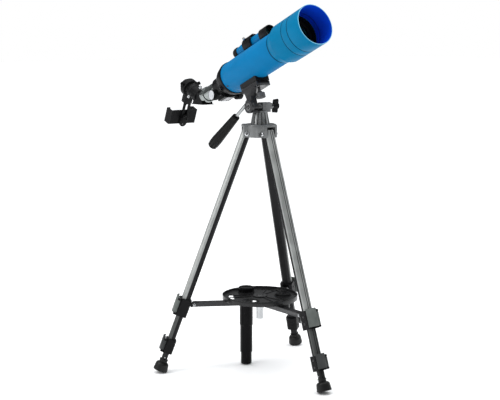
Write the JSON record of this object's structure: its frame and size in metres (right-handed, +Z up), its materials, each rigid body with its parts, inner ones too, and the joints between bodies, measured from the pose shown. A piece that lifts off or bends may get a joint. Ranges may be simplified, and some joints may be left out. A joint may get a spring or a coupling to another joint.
{
  "type": "refractor telescope",
  "caption": "Small blue refractor telescope on a folding three-leg stand with pan and tilt head, accessory tray, erecting diagonal, finder and phone holder.",
  "frame": {"origin": "floor point directly under the pan axis, midway between the three feet", "axes": "+Z up along the pan axis, +X level in the direction the tube points and over leg 1, +Y to the observer's left"},
  "size_m": [0.5947, 0.439, 0.8454],
  "materials": {
    "blue_paint": "satin lacquer",
    "black_plastic": "fine texture",
    "black_gloss": "polished",
    "black_metal": "satin",
    "grey_casting": "satin",
    "leg_aluminium": "anodised",
    "clamp_plastic": "moulded",
    "lever_plastic": "moulded",
    "lower_lever_plastic": "moulded",
    "foot_rubber": "moulded",
    "grip_rubber": "ribbed",
    "chrome": "polished",
    "knob_plastic": "knurled rim, silver disc",
    "lens_glass": "coated",
    "steel": "plated"
  },
  "bodies": {
    "tripod": {"tripod_shoulder": "grey_casting", "leg_pivot_bolts": "chrome"},
    "pan_collar": {"pan_lock_collar": "grey_casting"},
    "leg_1": {"leg_1_upper_tube": "leg_aluminium", "leg_1_upper_clamp": "clamp_plastic"},
    "leg_1_middle": {"leg_1_middle_tube": "leg_aluminium", "leg_1_lower_clamp": "clamp_plastic"},
    "leg_1_lower": {"leg_1_lower_tube": "leg_aluminium", "leg_1_foot": "foot_rubber"},
    "leg_1_upper_lever": {"leg_1_upper_lever": "lever_plastic"},
    "leg_1_lower_lever": {"leg_1_lower_lever": "lower_lever_plastic"},
    "brace_1": {"brace_arm_1": "black_metal"},
    "leg_2": {"leg_2_upper_tube": "leg_aluminium", "leg_2_upper_clamp": "clamp_plastic"},
    "leg_2_middle": {"leg_2_middle_tube": "leg_aluminium", "leg_2_lower_clamp": "clamp_plastic"},
    "leg_2_lower": {"leg_2_lower_tube": "leg_aluminium", "leg_2_foot": "foot_rubber"},
    "leg_2_upper_lever": {"leg_2_upper_lever": "lever_plastic"},
    "leg_2_lower_lever": {"leg_2_lower_lever": "lower_lever_plastic"},
    "brace_2": {"brace_arm_2": "black_metal"},
    "leg_3": {"leg_3_upper_tube": "leg_aluminium", "leg_3_upper_clamp": "clamp_plastic"},
    "leg_3_middle": {"leg_3_middle_tube": "leg_aluminium", "leg_3_lower_clamp": "clamp_plastic"},
    "leg_3_lower": {"leg_3_lower_tube": "leg_aluminium", "leg_3_foot": "foot_rubber"},
    "leg_3_upper_lever": {"leg_3_upper_lever": "lever_plastic"},
    "leg_3_lower_lever": {"leg_3_lower_lever": "lower_lever_plastic"},
    "brace_3": {"brace_arm_3": "black_metal"},
    "tray": {"tray_hub": "chrome", "accessory_tray": "black_plastic"},
    "erecting_lens": {"erecting_lens": "black_gloss"},
    "spare_eyepiece": {"spare_eyepiece": "black_plastic"},
    "pan_head": {"pan_base": "black_metal"},
    "tilt_lock": {"tilt_lock_knob": "black_plastic"},
    "cradle": {"tilt_bracket": "grey_casting", "tube_saddle": "black_plastic", "main_tube": "blue_paint", "objective_cell": "blue_paint", "dew_shield": "blue_paint", "objective_lens": "lens_glass", "lens_retainer": "black_metal", "focuser_body": "black_plastic", "finder_scope": "blue_paint", "finder_bracket": "black_plastic", "handle_rod": "chrome"},
    "grip": {"handle_grip": "grip_rubber"},
    "mount_screw": {"mount_screw": "grey_casting"},
    "draw": {"drawtube": "chrome"},
    "focus": {"focus_shaft": "steel", "focus_knobs": "knob_plastic"},
    "diagonal": {"diagonal_housing": "black_plastic", "erecting_prism": "lens_glass"},
    "eye": {"eyepiece": "black_gloss"},
    "ring": {"phone_ring": "black_plastic", "ring_screws": "black_metal"},
    "phone_clamp": {"phone_clamp": "black_plastic"},
    "phone_jaw": {"phone_jaw": "black_plastic"}
  },
  "joints": [
    {"name": "leg_1_fold", "type": "hinge", "parent": "tripod", "child": "leg_1", "pos_m": [0.033, 0, 0.558], "axis": [0, 1, 0], "range_deg": [0, 6]},
    {"name": "leg_1_middle_slide", "type": "slide", "parent": "leg_1", "child": "leg_1_middle", "axis": [0.3437, 0, -0.9391], "range_m": [-0.055, 0.24]},
    {"name": "leg_1_lower_slide", "type": "slide", "parent": "leg_1_middle", "child": "leg_1_lower", "axis": [0.3437, 0, -0.9391], "range_m": [-0.009, 0.25]},
    {"name": "leg_1_upper_lever_turn", "type": "hinge", "parent": "leg_1", "child": "leg_1_upper_lever", "pos_m": [0.19499, 0.014, 0.16045], "axis": [-0.3437, 0, 0.9391], "range_deg": [0, 110]},
    {"name": "leg_1_lower_lever_turn", "type": "hinge", "parent": "leg_1_middle", "child": "leg_1_lower_lever", "pos_m": [0.22663, 0.0122, 0.06875], "axis": [-0.3437, 0, 0.9391], "range_deg": [0, 110]},
    {"name": "brace_1_swing", "type": "hinge", "parent": "leg_1", "child": "brace_1", "pos_m": [0.15479, 0, 0.16118], "axis": [0, 1, 0], "range_deg": [0, 41.34]},
    {"name": "leg_2_fold", "type": "hinge", "parent": "tripod", "child": "leg_2", "pos_m": [-0.0165, 0.02858, 0.558], "axis": [-0.866, -0.5, 0], "range_deg": [0, 6]},
    {"name": "leg_2_middle_slide", "type": "slide", "parent": "leg_2", "child": "leg_2_middle", "axis": [-0.1718, 0.2976, -0.9391], "range_m": [-0.055, 0.24]},
    {"name": "leg_2_lower_slide", "type": "slide", "parent": "leg_2_middle", "child": "leg_2_lower", "axis": [-0.1718, 0.2976, -0.9391], "range_m": [-0.009, 0.25]},
    {"name": "leg_2_upper_lever_turn", "type": "hinge", "parent": "leg_2", "child": "leg_2_upper_lever", "pos_m": [-0.10962, 0.16186, 0.16045], "axis": [0.1718, -0.2976, 0.9391], "range_deg": [0, 110]},
    {"name": "leg_2_lower_lever_turn", "type": "hinge", "parent": "leg_2_middle", "child": "leg_2_lower_lever", "pos_m": [-0.12388, 0.19017, 0.06875], "axis": [0.1718, -0.2976, 0.9391], "range_deg": [0, 110]},
    {"name": "brace_2_swing", "type": "hinge", "parent": "leg_2", "child": "brace_2", "pos_m": [-0.07739, 0.13405, 0.16118], "axis": [-0.866, -0.5, 0], "range_deg": [0, 41.34]},
    {"name": "leg_3_fold", "type": "hinge", "parent": "tripod", "child": "leg_3", "pos_m": [-0.0165, -0.02858, 0.558], "axis": [0.866, -0.5, 0], "range_deg": [0, 6]},
    {"name": "leg_3_middle_slide", "type": "slide", "parent": "leg_3", "child": "leg_3_middle", "axis": [-0.1718, -0.2976, -0.9391], "range_m": [-0.055, 0.24]},
    {"name": "leg_3_lower_slide", "type": "slide", "parent": "leg_3_middle", "child": "leg_3_lower", "axis": [-0.1718, -0.2976, -0.9391], "range_m": [-0.009, 0.25]},
    {"name": "leg_3_upper_lever_turn", "type": "hinge", "parent": "leg_3", "child": "leg_3_upper_lever", "pos_m": [-0.08537, -0.17586, 0.16045], "axis": [0.1718, 0.2976, 0.9391], "range_deg": [0, 110]},
    {"name": "leg_3_lower_lever_turn", "type": "hinge", "parent": "leg_3_middle", "child": "leg_3_lower_lever", "pos_m": [-0.10275, -0.20237, 0.06875], "axis": [0.1718, 0.2976, 0.9391], "range_deg": [0, 110]},
    {"name": "brace_3_swing", "type": "hinge", "parent": "leg_3", "child": "brace_3", "pos_m": [-0.07739, -0.13405, 0.16118], "axis": [0.866, -0.5, 0], "range_deg": [0, 41.34]},
    {"name": "tray_lift", "type": "slide", "parent": "tripod", "child": "tray", "axis": [0, 0, 1], "range_m": [0, 0.08571]},
    {"name": "erecting_lens_lift", "type": "slide", "parent": "tray", "child": "erecting_lens", "axis": [0, 0, 1], "range_m": [0, 0.15]},
    {"name": "spare_eyepiece_lift", "type": "slide", "parent": "tray", "child": "spare_eyepiece", "axis": [0, 0, 1], "range_m": [0, 0.036]},
    {"name": "pan_lock_turn", "type": "hinge", "parent": "tripod", "child": "pan_collar", "pos_m": [0, 0, 0.592], "axis": [0, 0, 1], "range_deg": [0, 40]},
    {"name": "pan", "type": "hinge", "parent": "tripod", "child": "pan_head", "pos_m": [0, 0, 0.6], "axis": [0, 0, 1], "continuous": true},
    {"name": "tilt", "type": "hinge", "parent": "pan_head", "child": "cradle", "pos_m": [0, 0, 0.619], "axis": [0, -1, 0], "range_deg": [-45, 22]},
    {"name": "tilt_lock_turn", "type": "hinge", "parent": "pan_head", "child": "tilt_lock", "pos_m": [0, 0, 0.619], "axis": [0, 1, 0], "range_deg": [0, 180]},
    {"name": "mount_screw_turn", "type": "hinge", "parent": "cradle", "child": "mount_screw", "pos_m": [0.00183, 0, 0.64353], "axis": [-0.3795, 0, 0.9252], "continuous": true},
    {"name": "grip_twist", "type": "hinge", "parent": "cradle", "child": "grip", "pos_m": [-0.1033, -0.0185, 0.56554], "axis": [-0.7944, 0, -0.6074], "continuous": true},
    {"name": "drawtube_slide", "type": "slide", "parent": "cradle", "child": "draw", "axis": [-0.9252, 0, -0.3795], "range_m": [-0.034, 0.026]},
    {"name": "focus_turn", "type": "hinge", "parent": "cradle", "child": "focus", "pos_m": [-0.13406, 0, 0.64097], "axis": [0, -1, 0], "range_deg": [-325.18, 248.78]},
    {"name": "diagonal_turn", "type": "hinge", "parent": "draw", "child": "diagonal", "pos_m": [-0.23352, 0, 0.62785], "axis": [0.9252, 0, 0.3795], "continuous": true},
    {"name": "eyepiece_slide", "type": "slide", "parent": "diagonal", "child": "eye", "axis": [-0.9225, 0, 0.3859], "range_m": [0, 0.018]},
    {"name": "ring_turn", "type": "hinge", "parent": "eye", "child": "ring", "pos_m": [-0.28888, 0, 0.651], "axis": [-0.9225, 0, 0.3859], "continuous": true},
    {"name": "clamp_slide", "type": "slide", "parent": "ring", "child": "phone_clamp", "axis": [-0.3859, 0, -0.9225], "range_m": [-0.02, 0.004]},
    {"name": "jaw_slide", "type": "slide", "parent": "phone_clamp", "child": "phone_jaw", "axis": [0, -1, 0], "range_m": [0, 0.018], "stiffness_N_per_m": 80, "springref_m": -0.02}
  ],
  "couplings": [
    {"joint": "brace_1_swing", "follows": "leg_1_fold", "ratio": 6.8886},
    {"joint": "leg_2_fold", "follows": "leg_1_fold", "ratio": 1},
    {"joint": "brace_2_swing", "follows": "leg_1_fold", "ratio": 6.8886},
    {"joint": "leg_3_fold", "follows": "leg_1_fold", "ratio": 1},
    {"joint": "brace_3_swing", "follows": "leg_1_fold", "ratio": 6.8886},
    {"joint": "tray_lift", "follows": "leg_1_fold", "m_per_rad": 0.81751},
    {"joint": "focus_turn", "follows": "drawtube_slide", "rad_per_m": 166.67}
  ]
}
